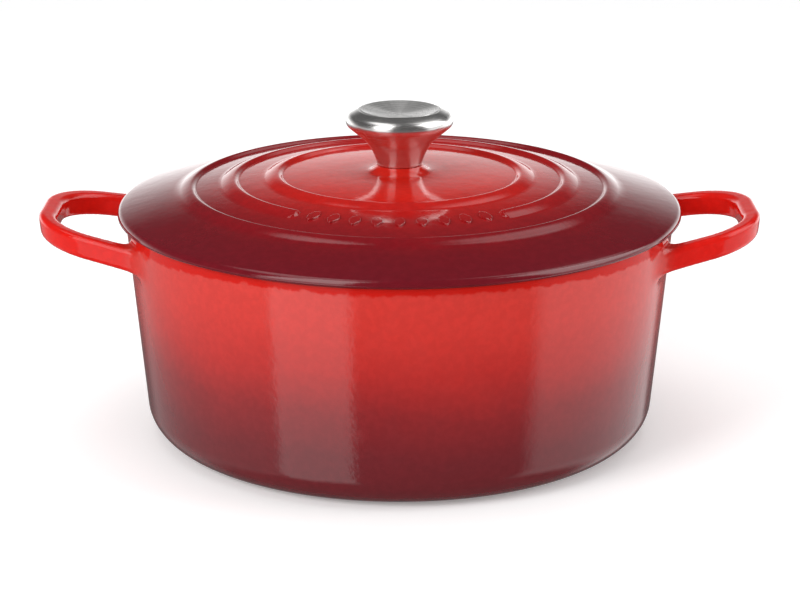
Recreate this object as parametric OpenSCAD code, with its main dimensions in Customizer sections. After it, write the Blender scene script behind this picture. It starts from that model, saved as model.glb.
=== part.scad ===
// Round enamelled cast-iron casserole with a domed lid and a stainless-steel knob.
// Millimetres. +Z up, +X through the two loop handles, the front is -Y.
// The origin is the middle of the underside, on the surface that the pot stands on.

/* [Pot] */
// Height of the pot's rim above the surface it stands on
rim_z = 118; // [100:1:130]
// Outside radius of the wall at the rim
rim_r = 144.5; // [135:0.5:146]
// Draft angle of the wall, in degrees
wall_draft = 5.1; // [2:0.1:8]
// Thickness of the iron wall
wall_t = 3.9; // [3.2:0.1:6]
// Thickness of the iron floor
floor_t = 4.6; // [4:0.1:8]
// Radius of the outside corner between the wall and the underside
foot_fillet = 18; // [10:1:24]
// Radius of the inside corner between the wall and the floor
inner_fillet = 15; // [8:1:20]

/* [Handles] */
// Distance from the middle of the pot to the outer end of a handle
handle_reach = 189; // [182:0.5:200]
// Width of the handle bar, seen from above
handle_bar_w = 9.4; // [8:0.1:13]
// Height of the handle bar
handle_bar_h = 12.4; // [9:0.1:15]
// Radius of the bar's rounded edges
handle_round = 3.6; // [2:0.1:4]
// Height of the middle of the bar where it leaves the wall
handle_z = 105.9; // [95:0.1:107]
// Upward tilt of the loop, in degrees
handle_tilt = 11; // [0:0.5:12]
// Radius of the bar's middle line at the two outer bends
handle_bend_r = 34.5; // [20:0.1:36]
// Angle by which each arm opens towards the pot, in degrees
handle_splay = 16; // [10:1:26]
// Half of the straight stretch across the outer end
handle_end_half = 11; // [6:0.1:16]

/* [Lid] */
// Outside radius of the lid
lid_r = 148; // [147:0.5:158]
// Height of the lid's edge, from the rim it rests on to the start of the dome
lid_edge_h = 4.1; // [3.8:0.1:6]
// Radius of the rolled top of the edge
lid_edge_r = 3.4; // [2:0.1:3.6]
// Rise of the dome from its edge to its middle
dome_rise = 16; // [10:0.1:20]
// Thickness of the lid's iron
lid_t = 3.9; // [3.8:0.1:6]
// Outer radii of the three raised rings, from the middle outwards
ring_r = [71, 94, 116.5]; // [60:0.5:125]
// Width of a raised ring
ring_w = 9.6; // [6:0.1:12]
// Height of a raised ring over the dome
ring_h = 1.9; // [0.8:0.1:2.6]
// Half of the angle left open at the front of the middle ring, in degrees
ring_gap_half = 36; // [30:1:60]
// Number of raised lozenges across the opening in the middle ring
lozenge_count = 9; // [3:1:9]
// How far the locating skirt reaches into the pot
skirt_h = 6.2; // [3:0.1:9]

/* [Knob] */
// Largest radius of the knob
knob_r = 28.2; // [26:0.1:30]
// Radius of the knob at its foot
knob_foot_r = 11.6; // [11:0.1:12]
// Radius of the knob's rounded outer edge
knob_edge_r = 4.3; // [3:0.1:5]
// Depth of the dish in the knob's top
dish_depth = 2.6; // [2:0.1:5]
// Wall of the knob's pressed shell
shell_t = 1.4; // [1:0.1:2]

/* [Fasteners] */
// Radius of the screw's shank, M6
screw_r = 2.95; // [2.5:0.05:3.2]
// Radius of the screw's pan head
screw_head_r = 6; // [5:0.1:7]
// Height of the screw's pan head
screw_head_h = 3.6; // [2.5:0.1:4]
// Thickness of each of the two washers
washer_t = 1.5; // [1:0.1:2]

/* [Enamel] */
// Thickness of the sand-coloured lining
lining_t = 0.5; // [0.3:0.1:1]

/* [Hidden] */
$fn = 96;

red = "firebrick";
sand = "wheat";
steel = "silver";

seat_gap = 0.2;             // between the pot's rim and the lid lying on it
lip_z = rim_z + seat_gap;   // underside of the lid's edge
shoulder_z = lip_z + lid_edge_h;
shoulder_r = lid_r - 0.75 * lid_edge_r;
dome_z = shoulder_z + dome_rise;
dome_power = 2.6;           // how fast the dome falls away from its flat middle
dome_slope = atan(dome_rise * dome_power / shoulder_r);

boss_r = 12.2;              // the pedestal that carries the knob
boss_h = 3.9;
boss_toe = 34;              // where its long concave flare has run out into the dome
boss_broad = 0.8;           // how much of its height belongs to the long flare
boss_z = dome_z + boss_h;
hole_r = 3.5;               // the screw's hole through the lid
pad_r = 13;                 // flat pad round that hole, under the lid
pad_z = dome_z - lid_t - 1.6;

skirt_z = rim_z - skirt_h;
skirt_r = inner_wall(skirt_z) - 1.8;
skirt_w = 4;
lug_h = 3;                  // the three locating lugs under the skirt
lug_angle = 7;
lozenge_l = 6;              // half of a lozenge's length, along the lid's radius
lozenge_w = 2.8;            // half of its width
lozenge_h = 1.2;            // its height over the dome
lozenge_pitch = 7.3;        // degrees between two lozenges

foot_lean = 14;             // degrees off upright at the knob's foot,
neck_lean = 30;             // where the stem turns into the tighter neck,
under_lean = 50;            // and on the cone below the knob's rounded edge
stem_r = 36;
neck_r = 20;
stem_x = knob_foot_r + stem_r * cos(foot_lean);
stem_z = boss_z - stem_r * sin(foot_lean);
neck_x = stem_x - (stem_r - neck_r) * cos(neck_lean);
neck_z = stem_z + (stem_r - neck_r) * sin(neck_lean);
edge_x = knob_r - knob_edge_r;
edge_z = neck_z + (neck_r + knob_edge_r) * sin(under_lean)
         + (edge_x - neck_x + (neck_r + knob_edge_r) * cos(under_lean)) / tan(under_lean);
shoulder_lean = 66;         // degrees off upright on the cone above the rounded edge
dish_r = 21;
knob_top = edge_z + knob_edge_r * sin(shoulder_lean)
           + (edge_x + knob_edge_r * cos(shoulder_lean) - dish_r) / tan(shoulder_lean);

insert_r = 8.8;
insert_h = 11;
spigot_r = 4.6;             // the insert's end, through the floor of the shell
head_z = pad_z - 2 * washer_t;

// ---- outlines: lists of [radius, height] ----------------------------------

function arc(cx, cz, r, from, to, steps = 8) =
    [for (i = [0:steps]) let (a = from + (to - from) * i / steps) [cx + r * cos(a), cz + r * sin(a)]];

// Radius of the wall's outer and inner faces at height z
function outer_wall(z) = rim_r - (rim_z - z) * tan(wall_draft);
function inner_wall(z) = outer_wall(z) - wall_t / cos(wall_draft);

// Corner of radius r between a floor at height z and the wall, which has radius wall_r at z
function wall_corner(z, wall_r, r) =
    arc(wall_r + r * tan(wall_draft) - r / cos(wall_draft), z + r, r, -90, -wall_draft);

// The hollow of the pot up to height top, its faces moved inwards by inset
function hollow(inset, top) =
    let (z = floor_t + inset, side = inset / cos(wall_draft))
    concat([[0, z]], wall_corner(z, inner_wall(z) - side, inner_fillet - inset),
           [[inner_wall(top) - side, top], [0, top]]);

// Height of the dome without its rings
function dome(r) = dome_z - dome_rise * pow(r / shoulder_r, dome_power);

// Points along the dome, lowered by drop
function dome_line(from, to, steps, drop = 0) =
    [for (i = [0:steps]) let (r = from + (to - from) * i / steps) [r, dome(r) - drop]];

// A ring's height over the dome, x = 0 at its inner toe and 1 at its outer toe
crest = 0.3;
function bump(x) = ring_h * (x < crest ? sin(90 * x / crest) : cos(90 * (x - crest) / (1 - crest)));
function ring_line(outer, steps = 10) =
    [for (i = [steps:-1:0]) let (r = outer - ring_w * (1 - i / steps)) [r, dome(r) + bump(i / steps)]];

lid_edge = concat([[lid_r - 0.4, lip_z], [lid_r, lip_z + 0.4]],
                  arc(lid_r - lid_edge_r, shoulder_z - lid_edge_r, lid_edge_r, 0, 90 - dome_slope, 6));
// A steep cone inside a long low flare, x = 0 at the pedestal's top and 1 at its toe
function flare(x) = boss_broad * pow(1 - x, 4)
                    + (boss_z - 0.4 - dome(boss_r) - boss_broad) * pow(max(0, 1 - 3.5 * x), 3);
boss = concat([for (i = [0:12]) let (x = pow(1 - i / 12, 2), r = boss_r + (boss_toe - boss_r) * x)
                  [r, dome(r) + flare(x)]],
              [[boss_r - 0.4, boss_z], [hole_r, boss_z]]);
lid_top = concat(lid_edge,
                 dome_line(shoulder_r - 4, ring_r[2] + 1, 4), ring_line(ring_r[2]),
                 dome_line(ring_r[2] - ring_w - 1, ring_r[0] + 1, 7), ring_line(ring_r[0]),
                 dome_line(ring_r[0] - ring_w - 1, boss_toe + 2, 4), boss);
under_r = skirt_r - skirt_w - 3;
lid_under = concat([[hole_r, pad_z], [pad_r, pad_z]],
                   dome_line(pad_r + 3, under_r, 9, lid_t),
                   [[skirt_r - skirt_w, lip_z], [skirt_r - skirt_w + 0.8, skirt_z],
                    [skirt_r - 0.8, skirt_z], [skirt_r, skirt_z + 0.8], [skirt_r, lip_z]]);

// ---- pot ------------------------------------------------------------------

module bar_section() {
    w = handle_bar_w / 2 - handle_round;
    h = handle_bar_h / 2 - handle_round;
    polygon(concat(arc(w, h, handle_round, 0, 90, 4), arc(-w, h, handle_round, 90, 180, 4),
                   arc(-w, -h, handle_round, 180, 270, 4), arc(w, -h, handle_round, 270, 360, 4)));
}

// Half of a loop, from the middle of its outer end to inside the pot's wall. The arm is a little
// stouter than the rest and swallows the end of the bend.
module half_loop() {
    arm = 42;
    arm_scale = 1.06;
    turn = 90 - handle_splay;
    end_x = handle_reach - handle_bar_w / 2;
    translate([end_x, handle_end_half, 0])
        rotate([90, 0, 0])
            linear_extrude(handle_end_half) bar_section();
    translate([end_x - handle_bend_r, handle_end_half, 0]) {
        rotate_extrude(angle = turn)
            translate([handle_bend_r, 0]) bar_section();
        rotate(turn)
            translate([handle_bend_r, -1, 0])
                rotate([-90, 0, 0])
                    linear_extrude(arm) scale(arm_scale) bar_section();
    }
}

// A loop, tilted about the place where it leaves the wall
module handle() {
    translate([rim_r, 0, handle_z])
        rotate([0, -handle_tilt, 0])
            translate([-rim_r, 0, 0]) {
                half_loop();
                mirror([0, 1, 0]) half_loop();
            }
}

module pot_outside() {
    rotate_extrude()
        polygon(concat([[0, 0]], wall_corner(0, outer_wall(0), foot_fillet),
                       [[outer_wall(rim_z - 1), rim_z - 1], [rim_r - 1, rim_z], [0, rim_z]]));
}

module pot() {
    color(red)
        difference() {
            union() {
                pot_outside();
                handle();
                mirror([1, 0, 0]) handle();
            }
            rotate_extrude() polygon(hollow(0, rim_z + 1));
        }
}

module pot_lining() {
    color(sand)
        difference() {
            rotate_extrude() polygon(hollow(0, rim_z));
            rotate_extrude() polygon(hollow(lining_t, rim_z + 1));
        }
}

// ---- lid ------------------------------------------------------------------

// The middle ring, open at the front, with rounded ends
module open_ring() {
    middle = ring_r[1] - ring_w / 2;
    end_r = (ring_w * ring_w / 4 + ring_h * ring_h) / (2 * ring_h);
    rotate(ring_gap_half - 90)
        rotate_extrude(angle = 360 - 2 * ring_gap_half)
            polygon(concat(ring_line(ring_r[1]), [[ring_r[1] - ring_w, dome(ring_r[1]) - 1],
                                                  [ring_r[1], dome(ring_r[1]) - 1]]));
    for (side = [-1, 1])
        rotate(side * ring_gap_half - 90)
            translate([middle, 0, dome(middle)])
                intersection() {
                    translate([0, 0, ring_h - end_r]) sphere(end_r);
                    translate([0, 0, -2]) cylinder(h = 4 + ring_h, r = ring_w);
                }
}

// A row of plain raised lozenges across the opening in the middle ring, each where two
// cylinders overlap, leaning with the dome
module lozenges() {
    middle = ring_r[1] - 0.7 * ring_w;
    side_r = (lozenge_l * lozenge_l + lozenge_w * lozenge_w) / (2 * lozenge_w);
    lean = atan(dome(middle - 0.5) - dome(middle + 0.5));
    for (i = [0:lozenge_count - 1])
        rotate((i - (lozenge_count - 1) / 2) * lozenge_pitch - 90)
            translate([middle, 0, dome(middle)])
                rotate([0, lean, 0])
                    intersection_for(side = [-1, 1])
                        translate([0, side * (side_r - lozenge_w), -2])
                            cylinder(h = 2 + lozenge_h, r = side_r);
}

module lugs() {
    for (i = [0:2])
        rotate(i * 120 - 90 - lug_angle / 2)
            rotate_extrude(angle = lug_angle)
                polygon([[skirt_r - 3, skirt_z + 1], [skirt_r - 3, skirt_z - lug_h + 0.6],
                         [skirt_r - 2.4, skirt_z - lug_h], [skirt_r - 1.6, skirt_z - lug_h],
                         [skirt_r - 1, skirt_z - lug_h + 0.6], [skirt_r - 1, skirt_z + 1]]);
}

module lid() {
    color(red) {
        rotate_extrude() polygon(concat(lid_top, lid_under));
        open_ring();
        lozenges();
        lugs();
    }
}

module lid_lining() {
    from = pad_r + 3;
    color(sand)
        rotate_extrude()
            polygon(concat(dome_line(from, under_r, 9, lid_t),
                           dome_line(under_r, from, 9, lid_t + lining_t)));
}

// ---- knob and its fixing --------------------------------------------------

// The trumpet-shaped shell, open at the top where the dish closes it
module knob_shell() {
    inner_foot = boss_z + shell_t;
    inner_from = 180 - asin((inner_foot - stem_z) / (stem_r + shell_t));
    color(steel)
        rotate_extrude()
            polygon(concat(
                [[spigot_r, boss_z]],
                arc(stem_x, stem_z, stem_r, 180 - foot_lean, 181 - neck_lean, 4),
                arc(neck_x, neck_z, neck_r, 180 - neck_lean, 180 - under_lean, 5),
                arc(edge_x, edge_z, knob_edge_r, -under_lean, shoulder_lean, 9),
                [[dish_r, knob_top], [dish_r, knob_top - shell_t / sin(shoulder_lean)]],
                arc(edge_x, edge_z, knob_edge_r - shell_t, shoulder_lean, -under_lean, 7),
                arc(neck_x, neck_z, neck_r + shell_t, 180 - under_lean, 180 - neck_lean, 4),
                arc(stem_x, stem_z, stem_r + shell_t, 181 - neck_lean, inner_from, 3),
                [[spigot_r, inner_foot]]));
}

// The dished disc that closes the top, curved to one large radius
module knob_dish() {
    rim = dish_r - 0.8;
    bowl = (rim * rim + dish_depth * dish_depth) / (2 * dish_depth);
    half = asin(rim / bowl);
    centre = knob_top - dish_depth + bowl;
    color(steel)
        rotate_extrude()
            polygon(concat(arc(0, centre, bowl, -90, half - 90, 8),
                           [[dish_r, knob_top], [dish_r, knob_top - shell_t]],
                           arc(0, centre, bowl + shell_t, half - 90, -90, 8)));
}

module knob_insert() {
    color("goldenrod")
        difference() {
            union() {
                translate([0, 0, boss_z]) cylinder(h = shell_t + 1, r = spigot_r);
                translate([0, 0, boss_z + shell_t]) cylinder(h = insert_h, r = insert_r);
            }
            translate([0, 0, boss_z - 1]) cylinder(h = insert_h + shell_t + 2, r = screw_r + 0.05);
        }
}

module knob_screw() {
    top = boss_z + shell_t + insert_h - 1;
    slot_w = 1.2;
    slot_d = 1.8;
    color(steel)
        difference() {
            union() {
                translate([0, 0, head_z - 1]) cylinder(h = top - head_z + 1, r = screw_r);
                translate([0, 0, head_z - screw_head_h])
                    cylinder(h = screw_head_h, r1 = screw_head_r - 1, r2 = screw_head_r);
            }
            translate([0, 0, head_z - screw_head_h]) {
                cube([6.6, slot_w, 2 * slot_d], center = true);
                cube([slot_w, 6.6, 2 * slot_d], center = true);
            }
        }
}

// A split spring washer under the screw's head
module lock_washer() {
    color(steel)
        rotate_extrude(angle = 350)
            translate([screw_r + 0.2, head_z]) square([2.2, washer_t]);
}

module flat_washer() {
    color(steel)
        difference() {
            translate([0, 0, head_z + washer_t]) cylinder(h = washer_t, r = screw_head_r + 0.3);
            translate([0, 0, head_z]) cylinder(h = 3 * washer_t, r = screw_r + 0.25);
        }
}

pot();
pot_lining();
lid();
lid_lining();
knob_shell();
knob_dish();
knob_insert();
knob_screw();
lock_washer();
flat_washer();
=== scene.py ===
import math

import bmesh
import bpy
import numpy as np
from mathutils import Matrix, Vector


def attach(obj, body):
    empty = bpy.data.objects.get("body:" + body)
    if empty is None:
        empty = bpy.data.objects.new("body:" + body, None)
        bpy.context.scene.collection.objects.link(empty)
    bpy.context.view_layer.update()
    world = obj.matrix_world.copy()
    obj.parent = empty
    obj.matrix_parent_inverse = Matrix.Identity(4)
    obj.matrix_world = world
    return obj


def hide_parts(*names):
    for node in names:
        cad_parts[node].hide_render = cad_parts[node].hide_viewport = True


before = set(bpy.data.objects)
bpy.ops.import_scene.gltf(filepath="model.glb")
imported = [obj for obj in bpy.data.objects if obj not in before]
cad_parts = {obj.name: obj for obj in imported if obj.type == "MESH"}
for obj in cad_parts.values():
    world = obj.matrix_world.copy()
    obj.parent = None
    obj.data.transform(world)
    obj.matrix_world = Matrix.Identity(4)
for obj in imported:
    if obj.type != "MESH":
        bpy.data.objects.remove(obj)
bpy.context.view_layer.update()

MM = 0.001

# ---------------------------------------------------------------- sizes, millimetres
RIM_Z = 118.0
RIM_R = 144.5
DRAFT = math.radians(5.1)
WALL_T = 3.9
FLOOR_T = 4.6
FOOT_R = 18.0
RIM_FLARE = 0.45        # how far the wall turns out just below the rim
RIM_EDGE = 1.2          # rounding of the rim's outer edge
MOUTH_EDGE = 1.0        # rounding of its inner edge
INNER_R = 15.0
LINING_T = 0.5

HANDLE_END = 183.8      # middle line of the bar at the outer end
HANDLE_HALF = 11.0      # half of the straight stretch there
HANDLE_BEND = 34.5
HANDLE_SPLAY = math.radians(16)
HANDLE_RISE = 0.195     # height gained per millimetre away from the wall
HANDLE_Z = 105.9
HANDLE_BLEND = 10.0     # fillet between a handle and the wall
HANDLE_SINK = 40.0      # length of an arm, its end buried in the wall
ARM_GROWTH = 0.6        # how much stouter the arm gets on each side
SIDE_LEAN = 0.09        # lean of the bar's sides towards the bottom
BAR_W = 9.2
BAR_H = 12.4
BAR_ROUND = 3.2

LID_R = 148.0
LIP_Z = 118.2
EDGE_H = 4.1
EDGE_R = 3.4
DOME_RISE = 16.0
DOME_POWER = 2.6
DOME_Z = LIP_Z + EDGE_H + DOME_RISE
SHOULDER_R = LID_R - 0.75 * EDGE_R
LID_T = 3.9
RINGS = (71.0, 94.0, 116.5)
RING_W = 9.6
RING_H = 1.9
CREST = 0.3
GAP_HALF = math.radians(36)
BOSS_R = 12.2
BOSS_TOE = 34.0
BOSS_BROAD = 0.8
BOSS_Z = DOME_Z + 3.9
SKIRT_H = 6.2
SKIRT_W = 4.0
SKIRT_GAP = 1.8         # between the skirt and the pot's inner wall
PAD_H = 1.6             # flat pad round the screw's hole, under the dome
PAD_R = 13.0
HOLE_R = 3.5
LOZENGES = 9
LOZENGE_L, LOZENGE_W, LOZENGE_H = 5.9, 2.75, 1.2
LOZENGE_PITCH = 7.3     # degrees
LUG_H = 3.0
LUG_HALF = 3.5          # degrees
END_FALL = 2.4          # length over which the middle ring's blunt ends run out

KNOB_R = 28.2
KNOB_FOOT = 11.6
SPIGOT_R = 4.6          # hole in the floor of the knob's shell
KNOB_EDGE = 4.3
DISH_R = 21.0
DISH_DEPTH = 2.6
SHELL_T = 1.4


# ---------------------------------------------------------------- meshes
def make_mesh(name, verts, faces, normals=None):
    """A smooth mesh object from arrays in millimetres."""
    me = bpy.data.meshes.new(name)
    me.from_pydata((np.asarray(verts) * MM).tolist(), [],
                   [tuple(int(i) for i in f) for f in faces])
    me.validate()
    me.update()
    me.polygons.foreach_set("use_smooth", [True] * len(me.polygons))
    if normals is not None:
        me.normals_split_custom_set_from_vertices(np.asarray(normals).tolist())
    ob = bpy.data.objects.new(name, me)
    bpy.context.scene.collection.objects.link(ob)
    return ob


def revolve(name, profile, angles=192, height=None):
    """A solid of revolution. height(r, angle) may move points up or down."""
    prof = np.asarray(profile, float)
    if isinstance(angles, int):
        angles = np.linspace(0, 2 * math.pi, angles, endpoint=False)
    steps, n = len(angles), len(prof)
    r = np.broadcast_to(prof[:, 0][None, :], (steps, n))
    a = np.broadcast_to(np.asarray(angles)[:, None], (steps, n))
    z = np.broadcast_to(prof[:, 1][None, :], (steps, n)).copy()
    if height is not None:
        z += height(r, a)
    verts = np.stack([r * np.cos(a), r * np.sin(a), z], 2).reshape(-1, 3)
    faces = []
    for i in range(steps):
        j = (i + 1) % steps
        for k in range(n):
            m = (k + 1) % n
            faces.append((i * n + k, j * n + k, j * n + m, i * n + m))
    ob = make_mesh(name, verts, faces)
    bm = bmesh.new()
    bm.from_mesh(ob.data)
    bmesh.ops.remove_doubles(bm, verts=bm.verts, dist=1e-7)
    bmesh.ops.recalc_face_normals(bm, faces=bm.faces)
    bm.to_mesh(ob.data)
    bm.free()
    return ob


def arc(cx, cz, r, a0, a1, steps):
    a = np.radians(np.linspace(a0, a1, steps + 1))
    return np.stack([cx + r * np.cos(a), cz + r * np.sin(a)], 1)


# ---------------------------------------------------------------- the pot, one blended casting
def round_and(a, b, r):
    """Intersection of two half-spaces with a rounded edge of radius r."""
    u, v = np.maximum(a + r, 0), np.maximum(b + r, 0)
    return np.minimum(np.maximum(a, b), -r) + np.hypot(u, v)


def smooth_or(a, b, k):
    """Union with a fillet of about radius k."""
    h = np.maximum(k - np.abs(a - b), 0) / k
    return np.minimum(a, b) - h * h * h * k / 6


def wall_distance(rad, z, r_rim):
    return (rad - (r_rim - (RIM_Z - z) * math.tan(DRAFT))) * math.cos(DRAFT)


def cup_field(rad, z, r_rim, floor_z, r):
    """Distance to a tapered cup with an exact corner of radius r between its wall and its floor."""
    cz = floor_z + r
    cx = r_rim - (RIM_Z - cz) * math.tan(DRAFT) - r / math.cos(DRAFT)
    px, pz = rad - cx, z - cz
    corner = (px > 0) & (px * math.sin(DRAFT) + pz * math.cos(DRAFT) < 0)
    flat = np.maximum(wall_distance(rad, z, r_rim), floor_z - z)
    return np.where(corner, np.hypot(px, pz) - r, flat)


def handle_field(x, y, z):
    """Distance to the two loops. Both are mirror images, so one is measured."""
    ax, ay = np.abs(x), np.abs(y)
    # the bar stays upright while its middle line climbs
    w = z - HANDLE_Z - HANDLE_RISE * (ax - RIM_R)
    # the middle line in plan: end stretch, bend, arm
    turn = math.pi / 2 - HANDLE_SPLAY
    bx = HANDLE_END - HANDLE_BEND
    px, py = ax - bx, ay - HANDLE_HALF
    ex, ey = HANDLE_BEND * math.cos(turn), HANDLE_BEND * math.sin(turn)
    tx, ty = -math.sin(turn), math.cos(turn)
    along = (px - ex) * tx + (py - ey) * ty
    d_arm = (px - ex) * math.cos(turn) + (py - ey) * math.sin(turn)
    ang = np.arctan2(py, px)
    d_bend = np.hypot(px, py) - HANDLE_BEND
    d_end = px - HANDLE_BEND
    d = np.where(py < 0, d_end, np.where((ang < turn) & (px > 0), d_bend, d_arm))
    d = np.where((py >= 0) & (px <= 0) & (along < 0), HANDLE_SINK, d)
    far = np.clip(along / 26.0, 0, 1)
    far = far * far * (3 - 2 * far)
    # its sides lean in a little towards the bottom
    qx = np.abs(d) - (BAR_W / 2 + ARM_GROWTH * far - BAR_ROUND) - SIDE_LEAN * (w - 2)
    qz = np.abs(w) - (BAR_H / 2 - BAR_ROUND)
    box = np.hypot(np.maximum(qx, 0), np.maximum(qz, 0)) + np.minimum(np.maximum(qx, qz), 0) - BAR_ROUND
    # the arm ends just inside the wall
    return np.maximum(box, along - HANDLE_SINK)


def pot_field(p):
    x, y, z = p[..., 0], p[..., 1], p[..., 2]
    rad = np.hypot(x, y)
    # the wall turns out a little in the last few millimetres below the rim
    lip = np.clip((z - RIM_Z + 8.5) / 9.0, 0, 1)
    outer = cup_field(rad, z, RIM_R - RIM_FLARE * (1 - lip * lip), 0.0, FOOT_R)
    inner = cup_field(rad, z, RIM_R - WALL_T / math.cos(DRAFT), FLOOR_T, INNER_R)
    solid = smooth_or(outer, handle_field(x, y, z), HANDLE_BLEND)
    body = round_and(solid, z - RIM_Z, RIM_EDGE)
    # the handles may rise a little over the rim's plane, away from the wall
    loops = np.maximum(handle_field(x, y, z), RIM_R + 8 - rad)
    body = np.minimum(body, loops)
    return round_and(body, -inner, MOUTH_EDGE)


def field_gradient(f, p, e=0.02):
    g = np.empty_like(p)
    for k in range(3):
        d = np.zeros(3)
        d[k] = e
        g[..., k] = (f(p + d) - f(p - d)) / (2 * e)
    return g


def surface_net(f, low, high, cell):
    """A quad mesh of f = 0, its points moved on to the surface, with exact normals."""
    axes = [np.arange(lo, hi + cell, cell) for lo, hi in zip(low, high)]
    gx, gy, gz = np.meshgrid(*axes, indexing="ij")
    v = f(np.stack([gx, gy, gz], -1))
    inside = v < 0
    corner = [inside[i:inside.shape[0] - 1 + i, j:inside.shape[1] - 1 + j, k:inside.shape[2] - 1 + k]
              for i in (0, 1) for j in (0, 1) for k in (0, 1)]
    count = sum(c.astype(np.int8) for c in corner)
    active = (count > 0) & (count < 8)
    index = -np.ones(active.shape, np.int64)
    cells = np.argwhere(active)
    index[active] = np.arange(len(cells))
    pos = np.stack([axes[k][cells[:, k]] + cell / 2 for k in range(3)], 1)
    # start from the mean of the edge crossings
    total = np.zeros_like(pos)
    weight = np.zeros(len(pos))
    for axis in range(3):
        for a in (0, 1):
            for b in (0, 1):
                o0 = [0, 0, 0]
                others = [k for k in range(3) if k != axis]
                o0[others[0]], o0[others[1]] = a, b
                o1 = list(o0)
                o1[axis] = 1
                c0, c1 = cells + o0, cells + o1
                v0 = v[c0[:, 0], c0[:, 1], c0[:, 2]]
                v1 = v[c1[:, 0], c1[:, 1], c1[:, 2]]
                hit = (v0 < 0) != (v1 < 0)
                t = np.where(hit, v0 / np.where(v0 == v1, 1, v0 - v1), 0)
                pt = np.stack([axes[k][c0[:, k]] for k in range(3)], 1)
                pt[:, axis] += t * cell
                total[hit] += pt[hit]
                weight[hit] += 1
    pos = total / weight[:, None]
    for _ in range(4):
        g = field_gradient(f, pos)
        n2 = (g * g).sum(1)
        step = (f(pos) / np.maximum(n2, 0.2))[:, None] * g
        length = np.linalg.norm(step, axis=1)
        step *= np.minimum(1, 0.4 * cell / np.maximum(length, 1e-9))[:, None]
        pos = pos - step
    quads = []
    for axis in range(3):
        o1, o2 = (axis + 1) % 3, (axis + 2) % 3
        lo = [slice(None)] * 3
        hi = [slice(None)] * 3
        lo[axis], hi[axis] = slice(0, -1), slice(1, None)
        for k in (o1, o2):
            lo[k] = hi[k] = slice(1, -1)
        s0, s1 = inside[tuple(lo)], inside[tuple(hi)]
        for flip, mask in ((False, s0 & ~s1), (True, ~s0 & s1)):
            at = np.argwhere(mask)
            at[:, o1] += 1
            at[:, o2] += 1
            ring = []
            for d1, d2 in ((-1, -1), (0, -1), (0, 0), (-1, 0)):
                q = at.copy()
                q[:, o1] += d1
                q[:, o2] += d2
                ring.append(index[q[:, 0], q[:, 1], q[:, 2]])
            ring = np.stack(ring, 1)
            quads.append(ring[:, ::-1] if flip else ring)
    faces = np.concatenate(quads)
    nor = field_gradient(f, pos)
    nor /= np.linalg.norm(nor, axis=1)[:, None]
    return pos, faces, nor


CELL = 1.3
verts, faces, normals = surface_net(pot_field, (-192.3, -147.3, -3.1), (193, 148, 122.5), CELL)
pot = make_mesh("pot_casting", verts, faces, normals)


# ---------------------------------------------------------------- lid
def dome(r):
    return DOME_Z - DOME_RISE * np.power(np.maximum(r, 0) / SHOULDER_R, DOME_POWER)


def ring_bump(r, outer):
    """Height of one raised ring: a quick inner flank, a rounded crest and a long outer slope."""
    x = np.clip((r - (outer - RING_W)) / RING_W, 0, 1)
    inner = np.sin(math.pi / 2 * np.minimum(x / CREST, 1))
    down = np.cos(math.pi / 2 * np.maximum((x - CREST) / (1 - CREST), 0))
    return RING_H * np.where(x < CREST, inner, down)


def ring_ends(r, a):
    """1 along the middle ring, falling to 0 round its two blunt ends beside the opening at the front."""
    from_front = np.abs((a + math.pi / 2 + math.pi) % (2 * math.pi) - math.pi)
    mid = RINGS[1] - RING_W / 2
    across = np.clip((r - mid) / (RING_W / 2), -1, 1)
    rounded = RING_W / 2 * (1 - np.sqrt(1 - across ** 2))
    t = np.clip(((from_front - GAP_HALF) * mid + END_FALL - rounded) / END_FALL, 0, 1)
    return np.sin(math.pi / 2 * t)


def lid_height(r, a):
    bump = np.minimum(ring_bump(r, RINGS[1]), RING_H * ring_ends(r, a))
    return np.where(LID_MASK[None, :] > 0, bump, 0)


def lid_angles(coarse, fine):
    """Angles round the lid, closer together at the two ends of the middle ring."""
    parts = [np.linspace(0, 2 * math.pi, coarse, endpoint=False)]
    for side in (-1, 1):
        mid = 1.5 * math.pi + side * GAP_HALF
        parts.append(np.linspace(mid - 0.075, mid + 0.075, fine))
    return np.unique(np.round(np.concatenate(parts), 5))


dome_slope = math.degrees(math.atan(DOME_RISE * DOME_POWER / SHOULDER_R))
edge = np.concatenate([
    arc(LID_R - 0.8, LIP_Z + 0.8, 0.8, -90, 0, 4),
    arc(LID_R - EDGE_R, LIP_Z + EDGE_H - EDGE_R, EDGE_R, 0, 90 - dome_slope, 12),
])
radii = [SHOULDER_R - 2]
while radii[-1] > BOSS_R + 0.3:
    r = radii[-1]
    near = any(o - RING_W - 0.8 < r < o + 0.8 for o in RINGS)
    radii.append(r - (0.45 if near else 0.4 if r < 19 else 1.0 if r < 42 else 2.0))
radii = np.array(radii)
toe = np.clip((radii - BOSS_R) / (BOSS_TOE - BOSS_R), 0, 1)
top_z = dome(radii) + ring_bump(radii, RINGS[0]) + ring_bump(radii, RINGS[2])
top_z += BOSS_BROAD * (1 - toe) ** 4
top_z += (BOSS_Z - 0.5 - dome(BOSS_R) - BOSS_BROAD) * np.maximum(0, 1 - 3.5 * toe) ** 3
boss = arc(BOSS_R - 0.5, BOSS_Z - 0.5, 0.5, 0, 90, 4)
skirt_z = RIM_Z - SKIRT_H
skirt_r = RIM_R - SKIRT_H * math.tan(DRAFT) - WALL_T / math.cos(DRAFT) - SKIRT_GAP
pad_z = DOME_Z - LID_T - PAD_H
under_r = np.linspace(PAD_R + 3, skirt_r - SKIRT_W - 3, 30)
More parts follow.
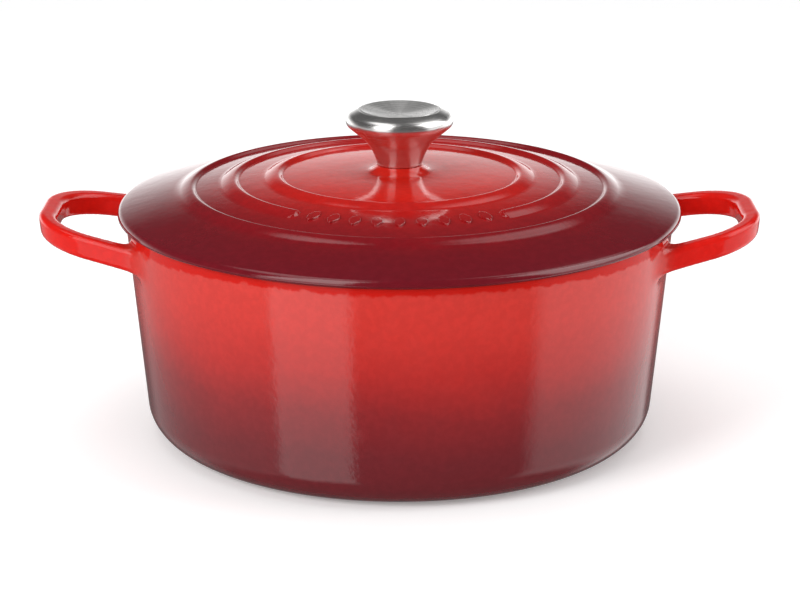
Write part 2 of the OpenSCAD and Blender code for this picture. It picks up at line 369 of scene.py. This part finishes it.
under = np.concatenate([
    [[HOLE_R, BOSS_Z], [HOLE_R, pad_z], [PAD_R, pad_z]],
    np.stack([under_r, dome(under_r) - LID_T], 1),
    [[skirt_r - SKIRT_W, LIP_Z]],
    arc(skirt_r - SKIRT_W + 1, skirt_z + 1, 1, 180, 270, 4),
    arc(skirt_r - 1, skirt_z + 1, 1, 270, 360, 4),
    [[skirt_r, LIP_Z]],
])
lid_profile = np.concatenate([edge, np.stack([radii, top_z], 1), boss, under])
# 1 for the points of the profile that lie on top of the dome
LID_MASK = np.concatenate([np.zeros(len(edge)), np.ones(len(radii)), np.zeros(len(boss) + len(under))])
turns = lid_angles(400, 60)
lid = revolve("lid_casting", lid_profile, turns, lid_height)


# ---------------------------------------------------------------- relief in the ring's opening
def pillow_grid(half_l, half_w, rise, nu=22, nv=14):
    """A pointed oval with a soft top, as points (along, across, height), and its faces."""
    side_r = (half_l ** 2 + half_w ** 2) / (2 * half_w)
    pts = []
    for i in range(nu + 1):
        u = math.sin(math.pi / 2 * (2 * i / nu - 1)) * half_l
        w = max(math.sqrt(side_r ** 2 - u * u) - (side_r - half_w), 0.0)
        for j in range(nv + 1):
            t = 2 * j / nv - 1
            v = w * math.sin(math.pi / 2 * t)
            inside = (1 - (u / half_l) ** 2) * (1 - t * t)
            pts.append((u, v, rise * min(1.0, 1.9 * inside ** 0.5) - 0.25))
    faces = [(i * (nv + 1) + j, (i + 1) * (nv + 1) + j, (i + 1) * (nv + 1) + j + 1, i * (nv + 1) + j + 1)
             for i in range(nu) for j in range(nv)]
    return np.array(pts), faces


def lozenge_row():
    pts, faces = pillow_grid(LOZENGE_L, LOZENGE_W, LOZENGE_H)
    all_v, all_f = [], []
    for k in range(LOZENGES):
        a = math.radians((k - (LOZENGES - 1) / 2) * LOZENGE_PITCH - 90)
        r = RINGS[1] - 0.7 * RING_W + pts[:, 0]
        x = r * math.cos(a) - pts[:, 1] * math.sin(a)
        y = r * math.sin(a) + pts[:, 1] * math.cos(a)
        z = dome(np.hypot(x, y)) + pts[:, 2]
        all_f += [tuple(i + len(all_v) * len(pts) for i in f) for f in faces]
        all_v.append(np.stack([x, y, z], 1))
    return make_mesh("lid_lozenges", np.concatenate(all_v), all_f)


lozenges = lozenge_row()


def lug_set():
    """The three small locating lugs under the lid's skirt."""
    tip = 0.7
    tip_z = skirt_z - LUG_H + tip
    prof = np.concatenate([[[skirt_r - 3, skirt_z + 0.6]],
                           arc(skirt_r - 3 + tip, tip_z, tip, 180, 270, 3),
                           arc(skirt_r - 1 - tip, tip_z, tip, 270, 360, 3),
                           [[skirt_r - 1, skirt_z + 0.6]]])
    n = len(prof)
    vs, fs = [], []
    steps = 14
    for k in range(3):
        base = len(vs)
        for i in range(steps + 1):
            t = 2 * i / steps - 1
            a = math.radians(k * 120 - 90 + LUG_HALF * math.sin(math.pi / 2 * t))
            rise = 2.6 * (1 - math.sqrt(max(0.0, 1 - t ** 8)))
            for r, z in prof:
                zz = z + rise if z < skirt_z else z
                vs.append((r * math.cos(a), r * math.sin(a), zz))
        for i in range(steps):
            a, b = base + i * n, base + (i + 1) * n
            for j in range(n):
                m = (j + 1) % n
                fs.append((a + j, b + j, b + m, a + m))
        fs.append(tuple(base + j for j in range(n)))
        fs.append(tuple(base + steps * n + j for j in reversed(range(n))))
    return make_mesh("lid_lugs", vs, fs)


lugs = lug_set()

# ---------------------------------------------------------------- enamel linings

def hollow_line(inset, steps=16):
    z = FLOOR_T + inset
    top = RIM_R - (WALL_T + inset) / math.cos(DRAFT)
    wall = top - (RIM_Z - z) * math.tan(DRAFT)
    r = INNER_R - inset
    cx = wall + r * math.tan(DRAFT) - r / math.cos(DRAFT)
    return np.concatenate([arc(cx, z + r, r, -90, -math.degrees(DRAFT), steps), [[top, RIM_Z - 0.05]]])


inner = hollow_line(LINING_T)
outer = hollow_line(0.0)
floor_r = np.linspace(0.0, inner[0, 0], 14)[:-1]
lining_profile = np.concatenate([
    np.stack([floor_r, np.full(len(floor_r), FLOOR_T + LINING_T)], 1), inner,
    outer[::-1], [[0, FLOOR_T]]])
pot_lining = revolve("pot_enamel_lining", lining_profile, 192)
lid_lining = revolve("lid_enamel_lining", np.concatenate([
    np.stack([under_r, dome(under_r) - LID_T], 1),
    np.stack([under_r[::-1], dome(under_r[::-1]) - LID_T - LINING_T], 1)]), 192)

# ---------------------------------------------------------------- knob
FOOT_LEAN, NECK_LEAN, UNDER_LEAN, TOP_LEAN = 14.0, 30.0, 50.0, 66.0
STEM_R, NECK_R = 36.0, 20.0


def cosd(a):
    return math.cos(math.radians(a))


def sind(a):
    return math.sin(math.radians(a))


stem_x = KNOB_FOOT + STEM_R * cosd(FOOT_LEAN)
stem_z = BOSS_Z - STEM_R * sind(FOOT_LEAN)
neck_x = stem_x - (STEM_R - NECK_R) * cosd(NECK_LEAN)
neck_z = stem_z + (STEM_R - NECK_R) * sind(NECK_LEAN)
edge_x = KNOB_R - KNOB_EDGE
edge_z = neck_z + (NECK_R + KNOB_EDGE) * sind(UNDER_LEAN) + (
    edge_x - neck_x + (NECK_R + KNOB_EDGE) * cosd(UNDER_LEAN)) * cosd(UNDER_LEAN) / sind(UNDER_LEAN)
knob_top = edge_z + KNOB_EDGE * sind(TOP_LEAN) + (
    edge_x + KNOB_EDGE * cosd(TOP_LEAN) - DISH_R) * cosd(TOP_LEAN) / sind(TOP_LEAN)
inner_top = knob_top - SHELL_T / sind(TOP_LEAN)
shell_profile = np.concatenate([
    [[SPIGOT_R, BOSS_Z + 0.02], [KNOB_FOOT - 0.5, BOSS_Z + 0.02]],
    arc(stem_x, stem_z, STEM_R, 179.4 - FOOT_LEAN, 180.5 - NECK_LEAN, 14),
    arc(neck_x, neck_z, NECK_R, 180 - NECK_LEAN, 180 - UNDER_LEAN, 14),
    arc(edge_x, edge_z, KNOB_EDGE, -UNDER_LEAN, TOP_LEAN, 36),
    [[DISH_R + 1.5, knob_top - 1.5 * cosd(TOP_LEAN) / sind(TOP_LEAN)], [DISH_R + 0.6, knob_top - 0.45],
     [DISH_R + 0.02, knob_top - 0.25], [DISH_R + 0.02, inner_top]],
    arc(edge_x, edge_z, KNOB_EDGE - SHELL_T, TOP_LEAN, -UNDER_LEAN, 10),
    arc(neck_x, neck_z, NECK_R + SHELL_T, 180 - UNDER_LEAN, 180 - NECK_LEAN, 6),
    arc(stem_x, stem_z, STEM_R + SHELL_T, 180.5 - NECK_LEAN, 165, 5),
    [[SPIGOT_R, BOSS_Z + SHELL_T]]])
knob_shell = revolve("knob_flared_shell", shell_profile, 160)
bowl_rim = DISH_R - 0.8
bowl = (bowl_rim ** 2 + DISH_DEPTH ** 2) / (2 * DISH_DEPTH)
half = math.degrees(math.asin(bowl_rim / bowl))
centre = knob_top - DISH_DEPTH + bowl
dish_profile = np.concatenate([
    arc(0, centre, bowl, -90, half - 90 - 2.0, 26),
    arc(DISH_R - 0.75, knob_top - 0.72, 0.7, 115, 10, 8),
    [[DISH_R - 0.03, knob_top - SHELL_T]],
    arc(0, centre, bowl + SHELL_T, half - 90, -90, 10)])
knob_dish = revolve("knob_dished_top", dish_profile, 160)


# ---------------------------------------------------------------- materials
class Nodes:
    """Short calls for building a node material."""

    def __init__(self, name):
        self.mat = bpy.data.materials.new(name)
        self.mat.use_nodes = True
        self.tree = self.mat.node_tree
        self.bsdf = self.tree.nodes["Principled BSDF"]
        self.coord = self.tree.nodes.new("ShaderNodeTexCoord").outputs["Object"]

    def link(self, out, socket):
        self.tree.links.new(out, socket)

    def math(self, op, a, b=0.0):
        n = self.tree.nodes.new("ShaderNodeMath")
        n.operation = op
        for i, v in enumerate((a, b)):
            if isinstance(v, (int, float)):
                n.inputs[i].default_value = v
            else:
                self.link(v, n.inputs[i])
        return n.outputs[0]

    def noise(self, scale, detail=2.0, rough=0.5, vector=None):
        n = self.tree.nodes.new("ShaderNodeTexNoise")
        n.inputs["Scale"].default_value = scale
        n.inputs["Detail"].default_value = detail
        n.inputs["Roughness"].default_value = rough
        self.link(vector or self.coord, n.inputs["Vector"])
        return n.outputs["Fac"]

    def xyz(self):
        n = self.tree.nodes.new("ShaderNodeSeparateXYZ")
        self.link(self.coord, n.inputs[0])
        return n.outputs

    def combine(self, x, y, z):
        n = self.tree.nodes.new("ShaderNodeCombineXYZ")
        for i, v in enumerate((x, y, z)):
            if isinstance(v, (int, float)):
                n.inputs[i].default_value = v
            else:
                self.link(v, n.inputs[i])
        return n.outputs[0]

    def span(self, value, low, high, a=0.0, b=1.0, smooth=True):
        n = self.tree.nodes.new("ShaderNodeMapRange")
        n.interpolation_type = "SMOOTHSTEP" if smooth else "LINEAR"
        self.link(value, n.inputs["Value"])
        for key, v in (("From Min", low), ("From Max", high), ("To Min", a), ("To Max", b)):
            n.inputs[key].default_value = v
        return n.outputs["Result"]

    def ramp(self, value, stops):
        n = self.tree.nodes.new("ShaderNodeValToRGB")
        e = n.color_ramp.elements
        e[0].position, e[0].color = stops[0][0], (*stops[0][1], 1)
        e[1].position, e[1].color = stops[-1][0], (*stops[-1][1], 1)
        for pos, col in stops[1:-1]:
            el = e.new(pos)
            el.color = (*col, 1)
        self.link(value, n.inputs[0])
        return n.outputs["Color"]

    def mix(self, fac, a, b, blend="MIX"):
        n = self.tree.nodes.new("ShaderNodeMix")
        n.data_type = "RGBA"
        n.blend_type = blend
        for key, v in ((0, fac), (6, a), (7, b)):
            if isinstance(v, (int, float)):
                n.inputs[key].default_value = v
            elif isinstance(v, tuple):
                n.inputs[key].default_value = (*v, 1)
            else:
                self.link(v, n.inputs[key])
        return n.outputs[2]

    def radius(self):
        x, y, _ = self.xyz()
        square = self.math("ADD", self.math("MULTIPLY", x, x), self.math("MULTIPLY", y, y))
        return self.math("SQRT", square)

    def bump(self, height, distance, normal=None):
        n = self.tree.nodes.new("ShaderNodeBump")
        n.inputs["Strength"].default_value = 1.0
        n.inputs["Distance"].default_value = distance
        self.link(height, n.inputs["Height"])
        if normal is not None:
            self.link(normal, n.inputs["Normal"])
        return n.outputs["Normal"]

    def set(self, **values):
        for key, v in values.items():
            self.bsdf.inputs[key.replace("_", " ")].default_value = v


def enamel_gloss(m, peel=0.00005, wave=0.00010):
    """The glass surface: fine orange peel over slow waves."""
    fine = m.noise(420, 2.0, 0.55)
    coarse = m.noise(95, 2.0, 0.5)
    n = m.bump(coarse, wave)
    n = m.bump(fine, peel, normal=n)
    m.link(n, m.bsdf.inputs["Normal"])
    m.link(m.span(m.noise(160, 3.0), 0.3, 0.75, 0.07, 0.13), m.bsdf.inputs["Roughness"])
    m.bsdf.inputs["IOR"].default_value = 1.5


def pot_red():
    m = Nodes("enamel_red_pot")
    x, _, z = m.xyz()
    rad = m.radius()
    mottle = m.math("MULTIPLY", m.math("SUBTRACT", m.noise(38, 4.0, 0.6), 0.5), 0.009)
    drift = m.math("MULTIPLY", m.math("SUBTRACT", m.noise(9, 2.0), 0.5), 0.022)
    h = m.math("ADD", m.math("ADD", z, mottle), drift)
    t = m.span(h, 0.0, 0.118, smooth=False)
    body = m.ramp(t, [(0.0, (0.115, 0.012, 0.016)), (0.22, (0.140, 0.013, 0.017)),
                      (0.42, (0.225, 0.015, 0.017)),
                      (0.62, (0.41, 0.020, 0.017)), (0.80, (0.52, 0.029, 0.022)),
                      (1.0, (0.57, 0.036, 0.027))])
    loop = m.span(rad, 0.1445, 0.152)
    loop = m.math("MULTIPLY", loop, m.span(z, 0.070, 0.092))
    body = m.mix(loop, body, (0.62, 0.010, 0.006))
    speck = m.span(m.noise(260, 3.0, 0.6), 0.35, 0.7, 0.94, 1.04)
    body = m.mix(1.0, body, m.combine(speck, speck, speck), "MULTIPLY")
    # painted shade: a saturated, ragged band runs round just under the rim, standing in for the lid's
    # shadow and the reflection it cuts off; the specular level is lowered there too
    ragged = m.math("MULTIPLY", m.math("SUBTRACT", m.noise(150, 4.0, 0.65), 0.5), 0.007)
    # it reaches further down towards the handles
    reach = m.span(m.math("ABSOLUTE", x), 0.06, 0.14, 0.0, 0.0032)
    lid_shade_band = m.span(m.math("ADD", m.math("ADD", z, ragged), reach), 0.1126, 0.1142)
    lid_shade_band = m.math("MULTIPLY", lid_shade_band, m.span(rad, 0.1465, 0.1450))
    body = m.mix(lid_shade_band, body, (0.50, 0.010, 0.006))
    # the painted shade band also drops the specular, a painted loss of reflection under the lid
    shine = m.span(lid_shade_band, 0.0, 1.0, 0.5, 0.14, smooth=False)
    shine = m.math("SUBTRACT", shine, m.math("MULTIPLY", loop, 0.17))
    m.link(shine, m.bsdf.inputs["Specular IOR Level"])
    # the flat rim under the lid is left in dark matt enamel
    rim = m.math("MULTIPLY", m.span(z, 0.1167, 0.1173), m.span(rad, 0.1452, 0.1447))
    body = m.mix(rim, body, (0.028, 0.024, 0.024))
    m.link(body, m.bsdf.inputs["Base Color"])
    enamel_gloss(m)
    return m.mat


def lid_red():
    m = Nodes("enamel_red_lid")
    rad = m.radius()
    mottle = m.math("MULTIPLY", m.math("SUBTRACT", m.noise(30, 4.0, 0.6), 0.5), 0.020)
    t = m.span(m.math("ADD", rad, mottle), 0.0, 0.148, smooth=False)
    col = m.ramp(t, [(0.0, (0.60, 0.016, 0.008)), (0.34, (0.56, 0.014, 0.008)),
                     (0.52, (0.40, 0.009, 0.008)),
                     (0.68, (0.235, 0.006, 0.009)), (0.84, (0.150, 0.005, 0.010)),
                     (1.0, (0.135, 0.006, 0.012))])
    speck = m.span(m.noise(260, 3.0, 0.6), 0.35, 0.7, 0.92, 1.05)
    col = m.mix(1.0, col, m.combine(speck, speck, speck), "MULTIPLY")
    m.link(col, m.bsdf.inputs["Base Color"])
    enamel_gloss(m, 0.00003, 0.00007)
    return m.mat


def sand(name):
    m = Nodes(name)
    fleck = m.span(m.noise(900, 2.0, 0.6), 0.60, 0.68)
    cloud = m.noise(25, 3.0)
    col = m.ramp(cloud, [(0.3, (0.66, 0.55, 0.40)), (0.7, (0.73, 0.63, 0.48))])
    col = m.mix(m.math("MULTIPLY", fleck, 0.25), col, (0.42, 0.31, 0.20))
    m.link(col, m.bsdf.inputs["Base Color"])
    enamel_gloss(m)
    return m.mat


def dark_enamel():
    m = Nodes("enamel_dark_rim")
    col = m.ramp(m.noise(120, 3.0), [(0.3, (0.020, 0.018, 0.018)), (0.7, (0.045, 0.040, 0.038))])
    m.link(col, m.bsdf.inputs["Base Color"])
    m.link(m.span(m.noise(300, 2.0), 0.3, 0.7, 0.38, 0.55), m.bsdf.inputs["Roughness"])
    m.link(m.bump(m.noise(700, 2.0), 0.00006), m.bsdf.inputs["Normal"])
    return m.mat


def spun_steel(name, base=(0.80, 0.785, 0.77), rough=(0.17, 0.26), lines=5200.0, depth=0.000004,
               fan=False, metal=0.95):
    """Metal with fine lines all round its axis."""
    m = Nodes(name)
    _, _, z = m.xyz()
    rad = m.radius()
    along = m.combine(rad, 0.0, z)
    streak = m.noise(lines, 3.0, 0.7, along)
    broad = m.noise(lines / 9, 2.0, 0.5, along)
    cloud = m.noise(60, 2.0)
    tone = m.math("ADD", m.math("MULTIPLY", streak, 0.6), m.math("MULTIPLY", broad, 0.4))
    dark = tuple(c * 0.88 for c in base)
    shade = m.ramp(tone, [(0.32, dark), (0.68, base)])
    if fan:
        # painted highlight: lighter and darker wedges round the middle stand in for the fan of
        # reflections a brushed finish shows
        x, y, _ = m.xyz()
        turn = m.combine(m.math("DIVIDE", x, rad), m.math("DIVIDE", y, rad), 0.0)
        wedge_highlight = m.math("ADD", m.math("MULTIPLY", m.noise(1.7, 1.0, 0.5, turn), 0.7),
                       m.math("MULTIPLY", m.noise(9.0, 2.0, 0.6, turn), 0.3))
        wedge_highlight = m.span(wedge_highlight, 0.35, 0.65, 0.72, 1.12)
        shade = m.mix(1.0, shade, m.combine(wedge_highlight, wedge_highlight, wedge_highlight), "MULTIPLY")
    m.link(shade, m.bsdf.inputs["Base Color"])
    r = m.span(streak, 0.25, 0.75, *rough)
    r = m.math("ADD", r, m.span(cloud, 0.3, 0.7, -0.02, 0.03))
    m.link(r, m.bsdf.inputs["Roughness"])
    m.set(Metallic=metal)
    m.link(m.bump(tone, depth), m.bsdf.inputs["Normal"])
    return m.mat


mat_pot = pot_red()
mat_lid = lid_red()
mat_sand_pot = sand("enamel_sand_pot")
mat_sand_lid = sand("enamel_sand_lid")
mat_dark = dark_enamel()
mat_knob = spun_steel("steel_knob")
mat_dish = spun_steel("steel_dish", base=(0.66, 0.65, 0.64), rough=(0.24, 0.34), lines=3400.0,
                      fan=True, metal=0.62)
mat_brass = spun_steel("brass_insert", base=(0.72, 0.55, 0.27), rough=(0.25, 0.4))
mat_screw = spun_steel("steel_screw", base=(0.66, 0.66, 0.65), rough=(0.16, 0.28), lines=3800.0)
mat_washer = spun_steel("steel_washer", base=(0.55, 0.55, 0.55), rough=(0.3, 0.42), lines=1500.0)


def wear(ob, body, mats, nodes=()):
    ob.data.materials.clear()
    for mt in mats:
        ob.data.materials.append(mt)
    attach(ob, body)
    if nodes:
        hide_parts(*nodes)


wear(pot, "pot", [mat_pot], ["pot"])
wear(pot_lining, "pot", [mat_sand_pot], ["pot_lining"])
wear(lid, "lid", [mat_lid, mat_dark, mat_sand_lid], ["lid"])
wear(lozenges, "lid", [mat_lid])
wear(lugs, "lid", [mat_dark])
wear(lid_lining, "lid", [mat_sand_lid], ["lid_lining"])
wear(knob_shell, "lid", [mat_knob], ["knob_shell"])
wear(knob_dish, "lid", [mat_dish], ["knob_dish"])
for node, mt in (("knob_insert", mat_brass), ("knob_screw", mat_screw), ("lock_washer", mat_washer),
                 ("flat_washer", mat_washer)):
    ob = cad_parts[node]
    ob.data.materials.clear()
    ob.data.materials.append(mt)

# the underside of the lid: dark on the seat and skirt, sand in the middle
DARK, SAND = 1, 2
for poly in lid.data.polygons:
    c = poly.center / MM
    r = math.hypot(c.x, c.y)
    if c.z < LIP_Z + 0.35 and r < LID_R - 0.9:
        poly.material_index = DARK
    elif poly.normal.z < 0.2 and 3 < r < skirt_r and c.z < dome(r) - 2:
        poly.material_index = SAND if r < skirt_r - 2 * SKIRT_W else DARK

# ---------------------------------------------------------------- stage, light and camera
scene = bpy.context.scene
scene.view_settings.view_transform = "Standard"

bpy.ops.mesh.primitive_plane_add(size=8, location=(0, 0, -0.0003))
floor = bpy.context.object
floor.name = "floor"
fm = Nodes("floor_pale")
pale = fm.ramp(fm.noise(3.0), [(0.3, (0.90, 0.90, 0.90)), (0.7, (0.93, 0.93, 0.93))])
fm.link(pale, fm.bsdf.inputs["Base Color"])
fm.set(Roughness=0.8, Emission_Color=(1, 1, 1, 1), Emission_Strength=0.22)
floor.data.materials.append(fm.mat)
floor.visible_glossy = False


def studio_world():
    """White room for the camera, even light for matt surfaces, and softboxes for glossy ones."""
    w = bpy.data.worlds.new("studio")
    scene.world = w
    w.use_nodes = True
    t = w.node_tree
    t.nodes.clear()
    out = t.nodes.new("ShaderNodeOutputWorld")
    tc = t.nodes.new("ShaderNodeTexCoord")
    sep = t.nodes.new("ShaderNodeSeparateXYZ")
    t.links.new(tc.outputs["Generated"], sep.inputs[0])
    x, y, z = sep.outputs

    def mth(op, a, b=0.0):
        n = t.nodes.new("ShaderNodeMath")
        n.operation = op
        for i, v in enumerate((a, b)):
            if isinstance(v, (int, float)):
                n.inputs[i].default_value = v
            else:
                t.links.new(v, n.inputs[i])
        return n.outputs[0]

    def step(v, low, high):
        n = t.nodes.new("ShaderNodeMapRange")
        n.interpolation_type = "SMOOTHSTEP"
        t.links.new(v, n.inputs["Value"])
        n.inputs["From Min"].default_value = low
        n.inputs["From Max"].default_value = high
        return n.outputs["Result"]

    # azimuth from the camera's side, positive to the right, and elevation, both in degrees
    az = mth("MULTIPLY", mth("ARCTAN2", x, mth("MULTIPLY", y, -1.0)), 180 / math.pi)
    el = mth("MULTIPLY", mth("ARCSINE", z), 180 / math.pi)

    def box(a0, a1, e0, e1, level, soft_a, soft_e):
        v = mth("MULTIPLY", step(az, a0 - soft_a, a0 + soft_a), step(az, a1 + soft_a, a1 - soft_a))
        v = mth("MULTIPLY", v, step(el, e0 - soft_e, e0 + soft_e))
        v = mth("MULTIPLY", v, step(el, e1 + soft_e, e1 - soft_e))
        return mth("MULTIPLY", v, level)

    total = None
    for args in SOFTBOXES:
        v = box(*args)
        total = v if total is None else mth("ADD", total, v)
    total = mth("ADD", total, mth("ADD", mth("MULTIPLY", step(el, 4, -12), 0.12), GLOSS_BASE))
    # the far wall: bright near the horizon behind the pot
    rear = step(mth("ABSOLUTE", az), 95, 140)
    glow = mth("MULTIPLY", step(el, 24, -4), step(el, -15, -6))
    total = mth("ADD", total, mth("MULTIPLY", mth("MULTIPLY", rear, glow), REAR_LEVEL))

    lp = t.nodes.new("ShaderNodeLightPath")
    glossy = t.nodes.new("ShaderNodeBackground")
    t.links.new(total, glossy.inputs["Strength"])
    matt = t.nodes.new("ShaderNodeBackground")
    matt.inputs["Strength"].default_value = MATT_LEVEL
    cam = t.nodes.new("ShaderNodeBackground")
    cam.inputs["Strength"].default_value = 1.0
    m1 = t.nodes.new("ShaderNodeMixShader")
    t.links.new(lp.outputs["Is Glossy Ray"], m1.inputs[0])
    t.links.new(matt.outputs[0], m1.inputs[1])
    t.links.new(glossy.outputs[0], m1.inputs[2])
    m2 = t.nodes.new("ShaderNodeMixShader")
    t.links.new(lp.outputs["Is Camera Ray"], m2.inputs[0])
    t.links.new(m1.outputs[0], m2.inputs[1])
    t.links.new(cam.outputs[0], m2.inputs[2])
    t.links.new(m2.outputs[0], out.inputs[0])


# (azimuth from, to, elevation from, to, level, softness across, softness up), in degrees
SOFTBOXES = [
    (-57, -21, -44, 14, 1.6, 2.5, 7.0),
    (-57, -21, 14, 70, 4.5, 4.0, 7.0),
    (-150, -57, -44, 4, 0.42, 8.0, 7.0),
    (62, 150, -44, 14, 1.15, 6.0, 7.0),
    (62, 120, 14, 62, 3.8, 6.0, 7.0),
    (-150, -50, 56, 82, 1.8, 8.0, 6.0),
    (110, 155, 40, 70, 1.4, 8.0, 6.0),
]
GLOSS_BASE = 0.08
REAR_LEVEL = 2.3
MATT_LEVEL = 0.76
studio_world()


def soft_light(name, place, size, watts):
    data = bpy.data.lights.new(name, "AREA")
    data.shape = "RECTANGLE"
    data.size, data.size_y = size
    data.energy = watts
    ob = bpy.data.objects.new(name, data)
    ob.location = place
    aim = Vector((0, 0, 0.07)) - Vector(place)
    ob.rotation_euler = aim.to_track_quat("-Z", "Y").to_euler()
    ob.visible_glossy = False
    scene.collection.objects.link(ob)


soft_light("key_left", (-1.3, -1.2, 1.1), (0.9, 0.9), 22)
soft_light("fill_right", (1.75, -0.25, 0.75), (0.9, 0.9), 10)
soft_light("top", (0, 0.2, 1.7), (1.4, 1.4), 8)

LENS = 106.695
CAMERA_AT = (0.00025, -1.2111, 0.4414)
CAMERA_DOWN = 17.167    # degrees below the horizon

cam_data = bpy.data.cameras.new("camera")
cam_data.sensor_width = 36.0
cam_data.lens = LENS
cam = bpy.data.objects.new("camera", cam_data)
cam.location = CAMERA_AT
cam.rotation_euler = (math.radians(90 - CAMERA_DOWN), 0, 0)
scene.collection.objects.link(cam)
scene.camera = cam
